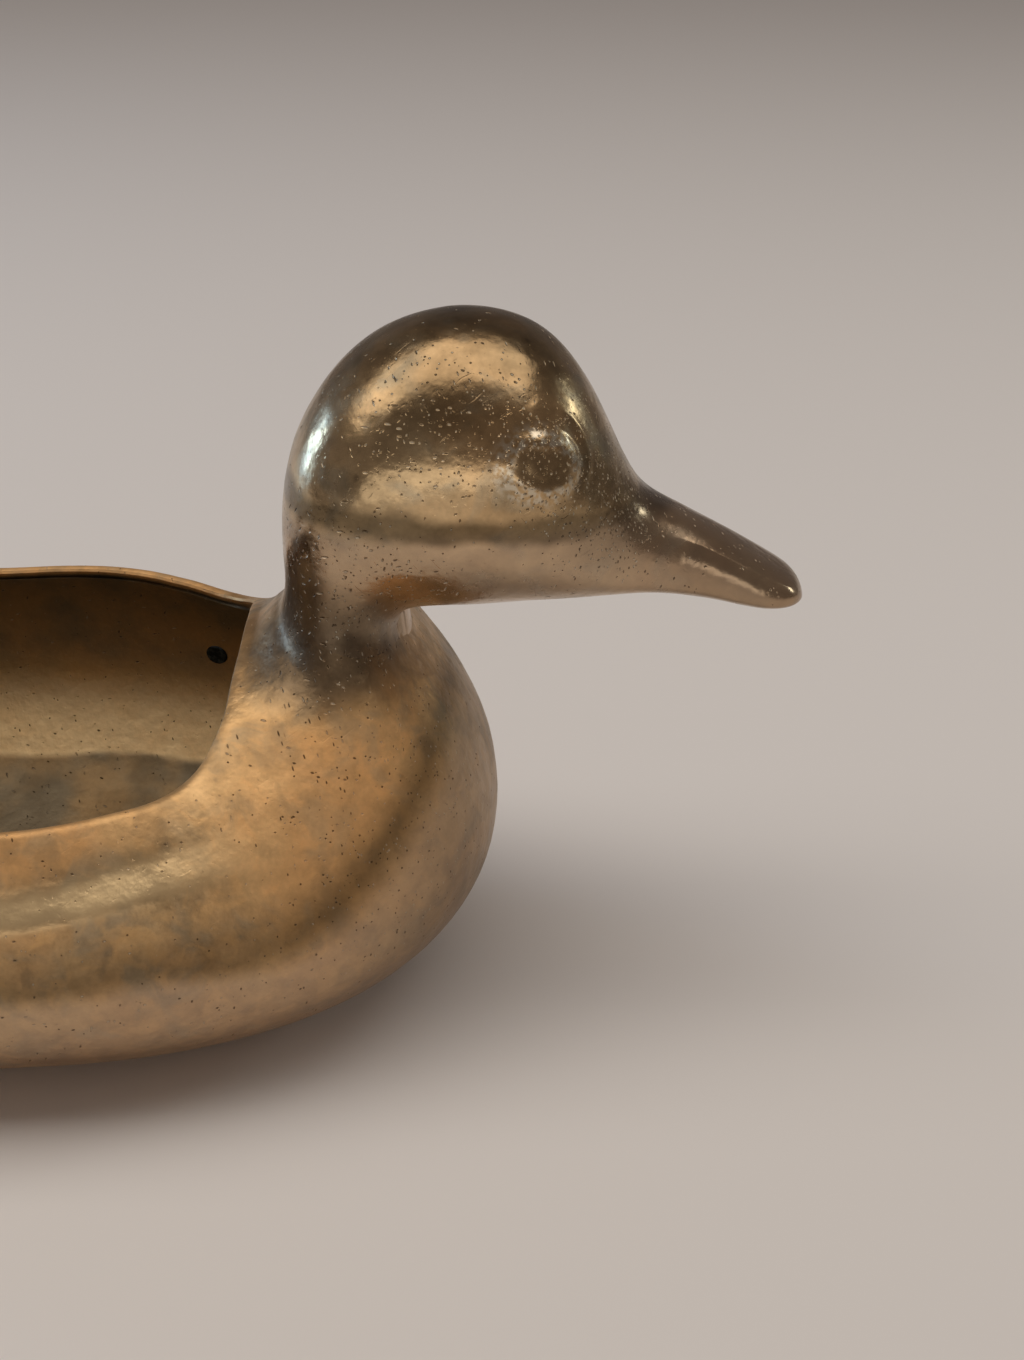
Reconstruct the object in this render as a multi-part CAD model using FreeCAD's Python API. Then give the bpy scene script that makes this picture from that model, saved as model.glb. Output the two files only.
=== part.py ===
"""Cast brass duck planter: a hollow duck with an open back, in five solid pieces.

The duck faces +X and stands on the XY plane.  Its skin is one smooth surface through rings of
poles that run from the tail, round the breast and the neck, to the tip of the bill.
"""

import FreeCAD, Part
import math
import os

# Sizes of the body, in millimetres
body_length = 235.0
body_width = 130.0
body_height = 82.0
wall = 3.0

# Sizes of the head and the bill
head_length = 62.0
head_width = 52.0
head_height = 57.0
jaw_drop = 1.5
bill_length = 36.5
bill_width = 22.0
bill_height = 20.0
bill_rise = 3.0

# The open back: what the lip leaves closed at the tail, at the nape and along the sides
tail_roof = 52.7
nape_lip = 4.4
side_lip = 6.0
lip_round = 1.1
widest_round_share = 0.45

# The eye, cast on the head
eye_length = 17.0
eye_height = 14.6
eye_rise = 0.9
eye_sink = 2.1
pupil_length = 9.2
pupil_height = 7.6
pupil_depth = 0.9

# The neck joint: the head's spigot stands in the neck, and braze fills the groove outside
fit_gap = 0.15
spigot_wall = 2.0
spigot_depth = 8.0
collar_height = 4.0
skin = 1.2
braze_width = 1.6

# The steel pins that held the core while the body was cast
pin_diameter = 5.0
pin_height = 40.0

# Places along the body and the head, as shares of the sizes above
nape_share = 0.826
throat_drop_share = 0.09
nape_rise_share = 0.06
throat_reach_share = 0.42
eye_reach_share = 0.78
eye_level_share = 0.6
pin_reach_share = 0.728

# Rings of poles: bottom x, bottom z, top x, top z, half width, belt height, upper and lower fullness
body_ring_shares = [
    (0.0, 0.805, 0.0, 0.841, 0.108, 0.5, 2.0, 2.0),
    (0.013, 0.75, 0.004, 0.878, 0.231, 0.5, 2.0, 2.0),
    (0.068, 0.573, 0.038, 0.884, 0.4, 0.5, 2.0, 2.0),
    (0.149, 0.341, 0.106, 0.878, 0.585, 0.5, 2.1, 2.0),
    (0.234, 0.134, 0.209, 0.915, 0.77, 0.48, 2.2, 2.0),
    (0.336, 0.012, 0.328, 0.99, 0.915, 0.44, 2.3, 2.2),
    (0.455, -0.024, 0.455, 1.02, 0.992, 0.39, 2.4, 2.4),
    (0.583, -0.024, 0.574, 1.0, 1.0, 0.38, 2.65, 2.4),
    (0.711, -0.024, 0.677, 0.95, 0.962, 0.38, 2.75, 2.3),
    (0.838, -0.01, 0.749, 0.86, 0.855, 0.41, 2.6, 2.1),
    (0.942, 0.098, 0.794, 0.885, 0.735, 0.43, 2.05, 2.0),
    (1.002, 0.311, 0.817, 0.96, 0.6, 0.46, 1.95, 2.0),
    (1.0, 0.622, 0.823, 0.963, 0.477, 0.5, 2.0, 2.0),
]
head_ring_shares = [
    (0.452, -0.202, 0.008, 0.079, 0.923, 0.5, 2.0, 2.0),
    (0.355, -0.079, 0.0, 0.219, 0.827, 0.5, 2.0, 2.0),
    (0.371, -0.018, 0.008, 0.43, 0.865, 0.5, 2.0, 2.0),
    (0.419, 0.0, 0.089, 0.684, 0.942, 0.5, 2.0, 2.0),
    (0.484, 0.0, 0.282, 0.92, 1.0, 0.48, 2.0, 2.0),
    (0.581, 0.0, 0.565, 1.009, 1.0, 0.46, 2.0, 2.0),
    (0.71, 0.018, 0.839, 0.926, 0.942, 0.44, 2.0, 2.0),
    (0.871, 0.035, 0.988, 0.62, 0.769, 0.42, 2.0, 2.2),
]
bill_ring_shares = [
    (0.0, 0.0, 0.123, 0.95, 1.318, 0.36, 2.2, 2.4),
    (0.247, 0.0, 0.315, 0.775, 1.0, 0.3, 2.6, 2.6),
    (0.521, -0.075, 0.589, 0.5, 0.91, 0.3, 2.8, 2.6),
    (0.767, -0.175, 0.822, 0.225, 0.955, 0.35, 2.8, 2.6),
    (0.932, -0.2, 0.959, 0.075, 0.727, 0.45, 2.4, 2.4),
    (1.0, -0.15, 1.0, -0.05, 0.364, 0.5, 2.0, 2.0),
]
# The opening's edge, from its front to its back: reach behind the front, and half width
opening_edge_shares = [
    (0.0, 0.0), (0.004, 0.24), (0.016, 0.49), (0.055, 0.68), (0.16, 0.86), (0.31, 0.965),
    (0.53, 1.0), (0.75, 0.9), (0.91, 0.64), (0.982, 0.31), (1.0, 0.0),
]

# Places worked out from the sizes
overall_length = nape_share * body_length + head_length + bill_length
tail_x = -overall_length / 2
nape_x = tail_x + nape_share * body_length
jaw_height = body_height - jaw_drop
opening_front = nape_x - nape_lip
opening_length = opening_front - tail_x - tail_roof
opening_width = body_width - 2 * side_lip
bill_x = nape_x + head_length
bill_z = jaw_height + bill_rise
poles_around = 16
# A ring of poles stands this much outside the smooth ring that it draws
pole_swell = 3 / (2 + math.cos(2 * math.pi / poles_around))


def power(value, exponent):
    """Return value to the exponent, with the sign that value had."""
    return math.copysign(abs(value) ** exponent, value)


def ring(share, origin, size):
    """Return one ring of poles from its row of shares."""
    bottom_x, bottom_z, top_x, top_z, half_width, belt, full_above, full_below = share
    bottom = FreeCAD.Vector(origin.x + bottom_x * size.x, 0, origin.z + bottom_z * size.z)
    top = FreeCAD.Vector(origin.x + top_x * size.x, 0, origin.z + top_z * size.z)
    middle = (bottom + top) / 2
    poles = []
    for step in range(poles_around):
        angle = 2 * math.pi * step / poles_around - math.pi / 2
        across, up = math.cos(angle), math.sin(angle)
        fullness = full_above if up > 0 else full_below
        reach = (1 - belt) if up > 0 else belt
        level = belt + reach * power(up, 2 / fullness)
        point = middle + (top - bottom) * (level * pole_swell - pole_swell / 2)
        side = half_width * size.y / 2 * power(across, 2 / fullness) * pole_swell
        poles.append(FreeCAD.Vector(point.x, side, point.z))
    return poles


def skin_rings():
    """Return the rings of poles of the whole duck's outer skin, from tail to bill."""
    body_origin = FreeCAD.Vector(tail_x, 0, 0)
    body_size = FreeCAD.Vector(body_length, body_width, body_height)
    head_origin = FreeCAD.Vector(nape_x, 0, jaw_height)
    head_size = FreeCAD.Vector(head_length, head_width, head_height)
    bill_origin = FreeCAD.Vector(bill_x, 0, bill_z)
    bill_size = FreeCAD.Vector(bill_length, bill_width, bill_height)
    rings = [ring(share, body_origin, body_size) for share in body_ring_shares]
    rings += [ring(share, head_origin, head_size) for share in head_ring_shares]
    rings += [ring(share, bill_origin, bill_size) for share in bill_ring_shares]
    return rings


def inward(rings, row, column):
    """Return the unit vector that points into the metal at one pole."""
    before = rings[max(row - 1, 0)][column]
    after = rings[min(row + 1, len(rings) - 1)][column]
    left = rings[row][column - 1]
    right = rings[row][(column + 1) % poles_around]
    direction = (after - before).cross(right - left)
    return direction.normalize()


def inset_rings(rings, depth):
    """Return the rings moved into the duck by depth."""
    return [
        [rings[row][column] + inward(rings, row, column) * depth for column in range(poles_around)]
        for row in range(len(rings))
    ]


def solid_through(rings):
    """Return the solid inside one smooth skin, which closes round at the middle of each end ring."""
    first_end = sum(rings[0], FreeCAD.Vector()) / poles_around
    last_end = sum(rings[-1], FreeCAD.Vector()) / poles_around
    poles = [[first_end] * poles_around] + rings + [[last_end] * poles_around]
    degree = 3
    spans = len(poles) - degree
    end_knots = [degree + 1]
    surface = Part.BSplineSurface()
    surface.buildFromPolesMultsKnots(
        poles,
        end_knots + [1] * (spans - 1) + end_knots,
        [1] * (poles_around + 1),
        list(range(spans + 1)),
        list(range(poles_around + 1)),
        False,
        True,
        degree,
        degree,
    )
    return Part.Solid(Part.Shell([surface.toShape()]))


def neck_slab(below, above):
    """Return a wide slab across the neck joint, from below to above its plane."""
    nape = FreeCAD.Vector(nape_x, 0, jaw_height + nape_rise_share * head_height)
    throat_x = nape_x + throat_reach_share * head_length
    throat = FreeCAD.Vector(throat_x, 0, jaw_height - throat_drop_share * head_height)
    along = (throat - nape).normalize()
    across = FreeCAD.Vector(0, 1, 0)
    up = along.cross(across)
    corner = nape - (along + across) * overall_length + up * below
    slab = Part.makeBox(2 * overall_length, 2 * overall_length, above - below)
    slab.Placement = FreeCAD.Placement(corner, FreeCAD.Rotation(along, across, up, "ZXY"))
    return slab


def ground_block(level):
    """Return a block that holds everything under one level."""
    corner = FreeCAD.Vector(-overall_length, -body_width, level - body_height)
    return Part.makeBox(2 * overall_length, 2 * body_width, body_height, corner)


def hollow(rings):
    """Return the space inside the duck, with a flat floor over the flat ground face."""
    tail_row = 2
    face_row = len(body_ring_shares) + len(head_ring_shares)
    space = solid_through(inset_rings(rings, wall)[tail_row:face_row])
    return space.cut(ground_block(wall))


def neck_tube(rings, outer_depth, inner_depth, below, above):
    """Return the layer between two depths under the neck's skin, and between two levels."""
    rows_below, rows_above = 4, 5
    first = len(body_ring_shares) - rows_below
    last = len(body_ring_shares) + rows_above
    outside = solid_through(inset_rings(rings, outer_depth)[first:last])
    inside = solid_through(inset_rings(rings, inner_depth)[first:last])
    return outside.common(neck_slab(below, above)).cut(inside)


def opening_prism():
    """Return the upright prism that opens the back."""
    half = [
        FreeCAD.Vector(opening_front - back * opening_length, side * opening_width / 2, body_height / 2)
        for back, side in opening_edge_shares
    ]
    other_half = [FreeCAD.Vector(point.x, -point.y, point.z) for point in half[-2:0:-1]]
    edge = Part.BSplineCurve()
    edge.interpolate(Points=half + other_half, PeriodicFlag=True)
    return Part.Face(Part.Wire([edge.toShape()])).extrude(FreeCAD.Vector(0, 0, body_height))


def braze_groove(skin_solid, rings):
    """Return the ring of space round the neck joint that the braze fills."""
    core = solid_through(inset_rings(rings, skin))
    ring_slab = neck_slab(-braze_width / 2, braze_width / 2)
    return skin_solid.common(ring_slab).cut(core)


def core_pin(rings, space, side):
    """Return one core pin, which lies in the wall from the inside up to the outer skin."""
    x = tail_x + pin_reach_share * body_length
    start = FreeCAD.Vector(x, 0, pin_height)
    rod = Part.makeCylinder(pin_diameter / 2, body_width / 2, start, FreeCAD.Vector(0, side, 0))
    return rod.common(solid_through(inset_rings(rings, skin))).cut(space)


def eye_placement(skin_solid, side, rise):
    """Return the place of an eye: on the head's skin, raised by rise, with its Z axis outward."""
    x = nape_x + eye_reach_share * head_length
    z = jaw_height + eye_level_share * head_height
    ray = Part.makeLine(FreeCAD.Vector(x, 0, z), FreeCAD.Vector(x, side * head_width, z))
    seat = max((v.Point for v in skin_solid.common(ray).Vertexes), key=lambda point: abs(point.y))
    surface = skin_solid.Faces[0].Surface
    outward = surface.normal(*surface.parameter(seat))
    if outward.y * side < 0:
        outward = outward * -1
    along = FreeCAD.Vector(0, 1, 0).cross(outward).normalize()
    across = outward.cross(along)
    return FreeCAD.Placement(seat + outward * rise, FreeCAD.Rotation(along, across, outward, "ZXY"))


def lens(length, height, depth):
    """Return an ellipsoid with its middle at the origin, from its length, height and half depth."""
    scale = FreeCAD.Matrix()
    scale.scale(length / 2, height / 2, depth)
    return Part.makeSphere(1).transformGeometry(scale)


def rounded_opening(shell):
    """Return the body with its back opened and both edges of the lip rounded."""
    opened = shell.cut(opening_prism())
    lip_faces = [face for face in opened.Faces if "Extrusion" in face.Surface.TypeId]
    lip_edges = [edge for face in lip_faces for edge in face.Edges if edge.isClosed()]
    return opened.makeFillet(min(lip_round, widest_round_share * wall), lip_edges)


def body_casting(skin_solid, space, groove, pins):
    """Return the body: bowl, tail, breast and neck stub, with a flat ground face."""
    body = skin_solid.cut(neck_slab(0, overall_length)).cut(space).cut(ground_block(0))
    body = rounded_opening(body).cut(groove)
    for pin in pins:
        body = body.cut(pin)
    return body


def add_eye(head, skin_solid, space, side):
    """Return the head with one eye: a raised lid round a dished pupil."""
    lid = lens(eye_length, eye_height, eye_rise + eye_sink)
    lid.Placement = eye_placement(skin_solid, side, -eye_sink)
    pupil = lens(pupil_length, pupil_height, pupil_depth)
    pupil.Placement = eye_placement(skin_solid, side, eye_rise)
    return head.fuse(lid.cut(space)).cut(pupil)


def head_casting(skin_solid, rings, space, groove):
    """Return the hollow head with its solid bill, and the spigot that stands in the neck."""
    seat = wall + fit_gap
    inner = seat + spigot_wall
    head = skin_solid.common(neck_slab(0, overall_length)).cut(space)
    head = head.fuse(neck_tube(rings, skin, inner, 0, collar_height))
    head = head.fuse(neck_tube(rings, seat, inner, -spigot_depth, collar_height))
    head = head.cut(groove)
    for side in (-1, 1):
        head = add_eye(head, skin_solid, space, side)
    return head


def pieces():
    """Return every piece of the duck, by its name."""
    rings = skin_rings()
    skin_solid = solid_through(rings)
    space = hollow(rings)
    groove = braze_groove(skin_solid, rings)
    left_pin = core_pin(rings, space, 1)
    right_pin = core_pin(rings, space, -1)
    return {
        "body_casting": body_casting(skin_solid, space, groove, (left_pin, right_pin)),
        "head_casting": head_casting(skin_solid, rings, space, groove),
        "neck_braze": groove,
        "core_pin_left": left_pin,
        "core_pin_right": right_pin,
    }


def main():
    """Write one STEP file for each piece."""
    os.makedirs("parts", exist_ok=True)
    for name, shape in pieces().items():
        shape.exportStep("parts/" + name + ".step")
        box = shape.BoundBox
        print(name, "valid", shape.isValid(), "solids", len(shape.Solids), "volume", round(shape.Volume))
        print("    from", round(box.XMin, 1), round(box.YMin, 1), round(box.ZMin, 1), "to",
              round(box.XMax, 1), round(box.YMax, 1), round(box.ZMax, 1))


main()
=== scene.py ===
"""A cast brass duck planter: its skin, its open back, its eyes and its worn brass finishes."""

import logging
import math
from collections.abc import Callable, Iterator
from contextlib import contextmanager
from dataclasses import dataclass, field
from enum import Enum

import bmesh
import bpy
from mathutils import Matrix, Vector, noise
from mathutils.bvhtree import BVHTree


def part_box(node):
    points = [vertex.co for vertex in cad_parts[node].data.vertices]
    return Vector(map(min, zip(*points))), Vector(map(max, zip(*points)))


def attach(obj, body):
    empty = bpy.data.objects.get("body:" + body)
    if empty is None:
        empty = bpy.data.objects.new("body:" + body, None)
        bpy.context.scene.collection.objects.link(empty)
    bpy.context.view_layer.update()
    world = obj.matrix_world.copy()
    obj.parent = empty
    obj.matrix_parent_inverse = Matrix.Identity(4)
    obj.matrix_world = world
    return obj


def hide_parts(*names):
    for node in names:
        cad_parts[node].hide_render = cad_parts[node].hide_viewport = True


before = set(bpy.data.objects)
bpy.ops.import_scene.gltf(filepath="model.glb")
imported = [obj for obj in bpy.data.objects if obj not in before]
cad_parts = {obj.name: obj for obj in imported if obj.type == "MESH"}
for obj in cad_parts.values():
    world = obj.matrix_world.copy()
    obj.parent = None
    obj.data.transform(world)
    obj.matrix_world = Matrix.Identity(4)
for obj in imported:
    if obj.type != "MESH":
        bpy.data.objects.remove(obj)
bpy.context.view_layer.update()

log = logging.getLogger("duck")
MM = 0.001
FINE_LEVELS = 4
Ring = list[Vector]
Shares = list[tuple[float, ...]]
Triple = tuple[float, float, float]
Colour = tuple[float, float, float, float]


class Side(Enum):
    """The duck's two sides, by the sign of Y."""

    LEFT = 1
    RIGHT = -1


class Slot(Enum):
    """The record's material slots."""

    BODY = "cast_brass"
    HEAD = "polished_brass"
    BRAZE = "braze"
    PIN = "pin_steel"


def only(piece: bpy.types.Object) -> None:
    """Select one object alone and make it the active one.

    Args:
        piece: The object.
    """
    bpy.ops.object.select_all(action="DESELECT")
    piece.select_set(True)
    bpy.context.view_layer.objects.active = piece


def join(piece: bpy.types.Object, other: bpy.types.Object) -> None:
    """Join another object's mesh into a piece.

    Args:
        piece: The object that stays.
        other: The object that becomes part of it.
    """
    only(piece)
    other.select_set(True)
    bpy.ops.object.join()


@contextmanager
def editing(piece: bpy.types.Object) -> Iterator[bmesh.types.BMesh]:
    """Open a piece in edit mode with nothing selected.

    Args:
        piece: The mesh object to edit.

    Yields:
        The piece's edit mesh.
    """
    only(piece)
    bpy.ops.object.mode_set(mode="EDIT")
    bpy.ops.mesh.select_mode(type="VERT")
    bpy.ops.mesh.select_all(action="DESELECT")
    yield bmesh.from_edit_mesh(piece.data)
    bmesh.update_edit_mesh(piece.data)
    bpy.ops.object.mode_set(mode="OBJECT")


def pick_faces(mesh: bmesh.types.BMesh, wanted: Callable[[bmesh.types.BMFace], bool]) -> None:
    """Select the faces that are wanted, and nothing else.

    Args:
        mesh: The piece's edit mesh.
        wanted: Tells whether a face is wanted.
    """
    bpy.ops.mesh.select_mode(type="FACE")
    for face in mesh.faces:
        face.select_set(wanted(face))


def pick_edges(mesh: bmesh.types.BMesh, wanted: Callable[[bmesh.types.BMEdge], bool]) -> None:
    """Select the edges that are wanted, and nothing else.

    Args:
        mesh: The piece's edit mesh.
        wanted: Tells whether an edge is wanted.
    """
    bpy.ops.mesh.select_mode(type="EDGE")
    for edge in mesh.edges:
        edge.select_set(wanted(edge))


def face_outwards() -> None:
    """Turn all the faces of the open edit mesh outwards."""
    bpy.ops.mesh.select_all(action="SELECT")
    bpy.ops.mesh.normals_make_consistent(inside=False)


def finish_with(piece: bpy.types.Object, kind: str, **settings: object) -> None:
    """Add one modifier to a piece and apply it.

    Args:
        piece: The object to finish.
        kind: The modifier's type.
        **settings: The modifier's settings, by name.
    """
    only(piece)
    modifier = piece.modifiers.new(kind.lower(), kind)
    for name, value in settings.items():
        setattr(modifier, name, value)
    bpy.ops.object.modifier_apply(modifier=modifier.name)


def subdivide(piece: bpy.types.Object, levels: int) -> None:
    """Smooth a cage into a finer mesh."""
    finish_with(piece, "SUBSURF", levels=levels, render_levels=levels, boundary_smooth="ALL")


def copy_of(piece: bpy.types.Object, name: str) -> bpy.types.Object:
    """Copy a piece together with its mesh.

    Args:
        piece: The object to copy.
        name: The copy's name.

    Returns:
        The copy.
    """
    twin = piece.copy()
    twin.data = piece.data.copy()
    twin.name = name
    bpy.context.scene.collection.objects.link(twin)
    return twin


def discard(piece: bpy.types.Object) -> None:
    """Delete a working object."""
    bpy.data.objects.remove(piece, do_unlink=True)


def smooth_step(low: float, high: float, value: float) -> float:
    """Return 0 below low, 1 above high and a smooth curve between them."""
    share = min(max((value - low) / (high - low), 0.0), 1.0)
    return share * share * (3 - 2 * share)


def tree_of(piece: bpy.types.Object) -> BVHTree:
    """Return a search tree of a piece's faces."""
    return BVHTree.FromObject(piece, bpy.context.evaluated_depsgraph_get())


def shade(piece: bpy.types.Object, degrees: float) -> None:
    """Shade a piece smooth, with edges sharper than an angle left crisp."""
    only(piece)
    bpy.ops.object.shade_smooth_by_angle(angle=math.radians(degrees))


def hand_over(piece: bpy.types.Object, slot: Slot, material: bpy.types.Material, *nodes: str) -> None:
    """Dress a finished piece, and let it stand for its CAD nodes.

    Args:
        piece: The finished object.
        slot: The record's slot that its finish comes from; not used.
        material: Its material.
        *nodes: The CAD nodes that it stands for.
    """
    while piece.data.uv_layers:
        piece.data.uv_layers.remove(piece.data.uv_layers[0])
    piece.vertex_groups.clear()
    piece.data.materials.clear()
    piece.data.materials.append(material)
    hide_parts(*nodes)
    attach(piece, "root")
    log.info("%s: %d faces, stands for %s", piece.name, len(piece.data.polygons), ", ".join(nodes))


@dataclass
class Skin:
    """The duck's whole outer skin: rings of points from the tail to the bill, made smooth."""

    body_size: Vector = field(default_factory=lambda: Vector((235, 130, 82)) * MM)
    head_size: Vector = field(default_factory=lambda: Vector((62, 52, 57)) * MM)
    bill_size: Vector = field(default_factory=lambda: Vector((36.5, 22, 20)) * MM)
    jaw_drop: float = 1.5 * MM
    bill_rise: float = 3 * MM
    nape_share: float = 0.826
    points_around: int = 16
    swell_depth: float = 0.35 * MM
    swell_size: float = 30 * MM
    ripple_depth: float = 0.17 * MM
    ripple_size: float = 9 * MM
    bill_crease: float = 0.6
    # Each ring: bottom x, bottom z, top x, top z, half width, belt height, upper and lower fullness
    body_shares: Shares = field(default_factory=lambda: [
        (0.0, 0.805, 0.0, 0.841, 0.108, 0.5, 2.0, 2.0),
        (0.013, 0.75, 0.004, 0.878, 0.231, 0.5, 2.0, 2.0),
        (0.068, 0.573, 0.038, 0.884, 0.4, 0.5, 2.0, 2.0),
        (0.149, 0.341, 0.106, 0.878, 0.585, 0.5, 2.1, 2.0),
        (0.234, 0.134, 0.209, 0.915, 0.77, 0.48, 2.2, 2.0),
        (0.336, 0.012, 0.328, 0.99, 0.915, 0.44, 2.3, 2.2),
        (0.455, -0.024, 0.455, 1.02, 0.992, 0.39, 2.4, 2.4),
        (0.583, -0.024, 0.574, 1.0, 1.0, 0.38, 2.65, 2.4),
        (0.711, -0.024, 0.677, 0.95, 0.962, 0.38, 2.75, 2.3),
        (0.838, -0.01, 0.749, 0.86, 0.855, 0.41, 2.6, 2.1),
        (0.942, 0.098, 0.794, 0.885, 0.735, 0.43, 2.05, 2.0),
        (1.002, 0.311, 0.817, 0.96, 0.6, 0.46, 1.95, 2.0),
        (1.0, 0.622, 0.823, 0.963, 0.477, 0.5, 2.0, 2.0),
    ])
    head_shares: Shares = field(default_factory=lambda: [
        (0.452, -0.202, 0.008, 0.079, 0.923, 0.5, 2.0, 2.0),
        (0.355, -0.079, 0.0, 0.219, 0.827, 0.5, 2.0, 2.0),
        (0.371, -0.018, 0.008, 0.43, 0.865, 0.5, 2.0, 2.0),
        (0.419, 0.0, 0.089, 0.684, 0.942, 0.5, 2.0, 2.0),
        (0.484, 0.0, 0.282, 0.92, 1.0, 0.48, 2.0, 2.0),
        (0.581, 0.0, 0.565, 1.009, 1.0, 0.46, 2.0, 2.0),
        (0.71, 0.018, 0.839, 0.926, 0.942, 0.44, 2.0, 2.0),
        (0.871, 0.035, 0.988, 0.62, 0.769, 0.42, 2.0, 2.2),
    ])
    bill_shares: Shares = field(default_factory=lambda: [
        (0.0, 0.0, 0.123, 0.95, 1.318, 0.36, 2.2, 2.4),
        (0.247, 0.0, 0.315, 0.775, 1.0, 0.3, 2.6, 2.6),
        (0.521, -0.075, 0.589, 0.5, 0.91, 0.3, 2.8, 2.6),
        (0.767, -0.175, 0.822, 0.225, 0.955, 0.35, 2.8, 2.6),
        (0.932, -0.2, 0.959, 0.075, 0.727, 0.45, 2.4, 2.4),
        (1.0, -0.15, 1.0, -0.05, 0.364, 0.5, 2.0, 2.0),
    ])

    def __post_init__(self) -> None:
        """Work out the places that follow from the sizes and the frame."""
        self.tail_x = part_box("body_casting")[0].x
        self.nape_x = self.tail_x + self.nape_share * self.body_size.x
        self.jaw_z = self.body_size.z - self.jaw_drop
        self.bill_x = self.nape_x + self.head_size.x

    def ring(self, share: tuple[float, ...], origin: Vector, size: Vector) -> Ring:
        """Return one ring of the cage.

        Args:
            share: The ring's row of shares.
            origin: Where its group of rings starts.
            size: The group's length, width and height.

        Returns:
            The ring's points, from the bottom round by the left side.
        """
        bottom_x, bottom_z, top_x, top_z, half_width, belt, full_above, full_below = share
        bottom = origin + Vector((bottom_x * size.x, 0, bottom_z * size.z))
        top = origin + Vector((top_x * size.x, 0, top_z * size.z))
        # Subdivision draws a ring of points inward by this much, so the ring starts wider
        swell = 3 / (2 + math.cos(math.tau / self.points_around))
        points = []
        for step in range(self.points_around):
            angle = math.tau * step / self.points_around - math.pi / 2
            across, up = math.cos(angle), math.sin(angle)
            fullness = full_above if up > 0 else full_below
            reach = 1 - belt if up > 0 else belt
            level = belt + reach * math.copysign(abs(up) ** (2 / fullness), up)
            side = half_width * size.y / 2 * math.copysign(abs(across) ** (2 / fullness), across)
            point = (bottom + top) / 2 + (top - bottom) * (level - 1 / 2) * swell
            points.append(Vector((point.x, side * swell, point.z)))
        return points

    def rings(self) -> list[Ring]:
        """Lay out all the rings of the cage.

        Returns:
            The rings, from the tail to the bill.
        """
        groups = (
            (self.body_shares, Vector((self.tail_x, 0, 0)), self.body_size),
            (self.head_shares, Vector((self.nape_x, 0, self.jaw_z)), self.head_size),
            (self.bill_shares, Vector((self.bill_x, 0, self.jaw_z + self.bill_rise)), self.bill_size),
        )
        return [self.ring(share, origin, size) for shares, origin, size in groups for share in shares]

    def cage(self) -> bpy.types.Object:
        """Return the cage: a sphere whose rings are moved to the duck's rings.

        Returns:
            The cage, with each point's ring number in "row", and its side and height in the ring in
            "across" and "up".
        """
        rings = self.rings()
        last = len(rings) + 1
        bpy.ops.object.select_all(action="DESELECT")
        bpy.ops.mesh.primitive_uv_sphere_add(segments=self.points_around, ring_count=last, radius=1)
        cage = bpy.context.active_object
        cage.name = "skin_cage"
        row = cage.data.attributes.new("row", "FLOAT", "POINT")
        across = cage.data.attributes.new("across", "FLOAT", "POINT")
        up = cage.data.attributes.new("up", "FLOAT", "POINT")
        for point in cage.data.vertices:
            from_bill = round(math.acos(max(-1.0, min(1.0, point.co.z))) / math.pi * last)
            turn = math.atan2(point.co.y, point.co.x) / math.tau * self.points_around
            step = round(turn) % self.points_around
            number = len(rings) - from_bill
            row.data[point.index].value = number
            angle = math.tau * step / self.points_around - math.pi / 2
            across.data[point.index].value = math.cos(angle)
            up.data[point.index].value = math.sin(angle)
            if 0 <= number < len(rings):
                point.co = rings[number][step]
            else:
                end = rings[0] if number < 0 else rings[-1]
                point.co = sum(end, Vector()) / len(end)
        self.crease_bill(cage)
        return cage

    def crease_bill(self, cage: bpy.types.Object) -> None:
        """Sharpen the bill's upper and lower side edges.

        Args:
            cage: The cage, with its "row", "across" and "up".
        """
        crease = cage.data.attributes.new("crease_edge", "FLOAT", "EDGE")
        row, across, up = (cage.data.attributes[name].data for name in ("row", "across", "up"))
        first = len(self.body_shares) + len(self.head_shares) + 1
        last = first + len(self.bill_shares) - 3
        for edge in cage.data.edges:
            one, other = edge.vertices
            in_bill = first <= min(row[one].value, row[other].value)
            in_bill = in_bill and max(row[one].value, row[other].value) <= last
            on_side = all(abs(abs(up[end].value) - abs(across[end].value)) < 0.01 for end in (one, other))
            if in_bill and on_side:
                crease.data[edge.index].value = self.bill_crease

    def cast(self, cage: bpy.types.Object, levels: int, name: str) -> bpy.types.Object:
        """Return the smooth skin, with the slight swells and ripples of a sand casting.

        Args:
            cage: The cage to start from.
            levels: How often it is subdivided.
            name: The new object's name.

        Returns:
            The whole duck's skin, closed.
        """
        skin = copy_of(cage, name)
        subdivide(skin, levels)
        for kind, size, depth in (
            ("swell", self.swell_size, self.swell_depth),
            ("ripple", self.ripple_size, self.ripple_depth),
        ):
            texture = bpy.data.textures.new(kind, "CLOUDS")
            texture.noise_scale = size
            texture.noise_depth = 1
            finish_with(skin, "DISPLACE", texture=texture, texture_coords="LOCAL", strength=depth, mid_level=1)
            bpy.data.textures.remove(texture)
        return skin


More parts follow.
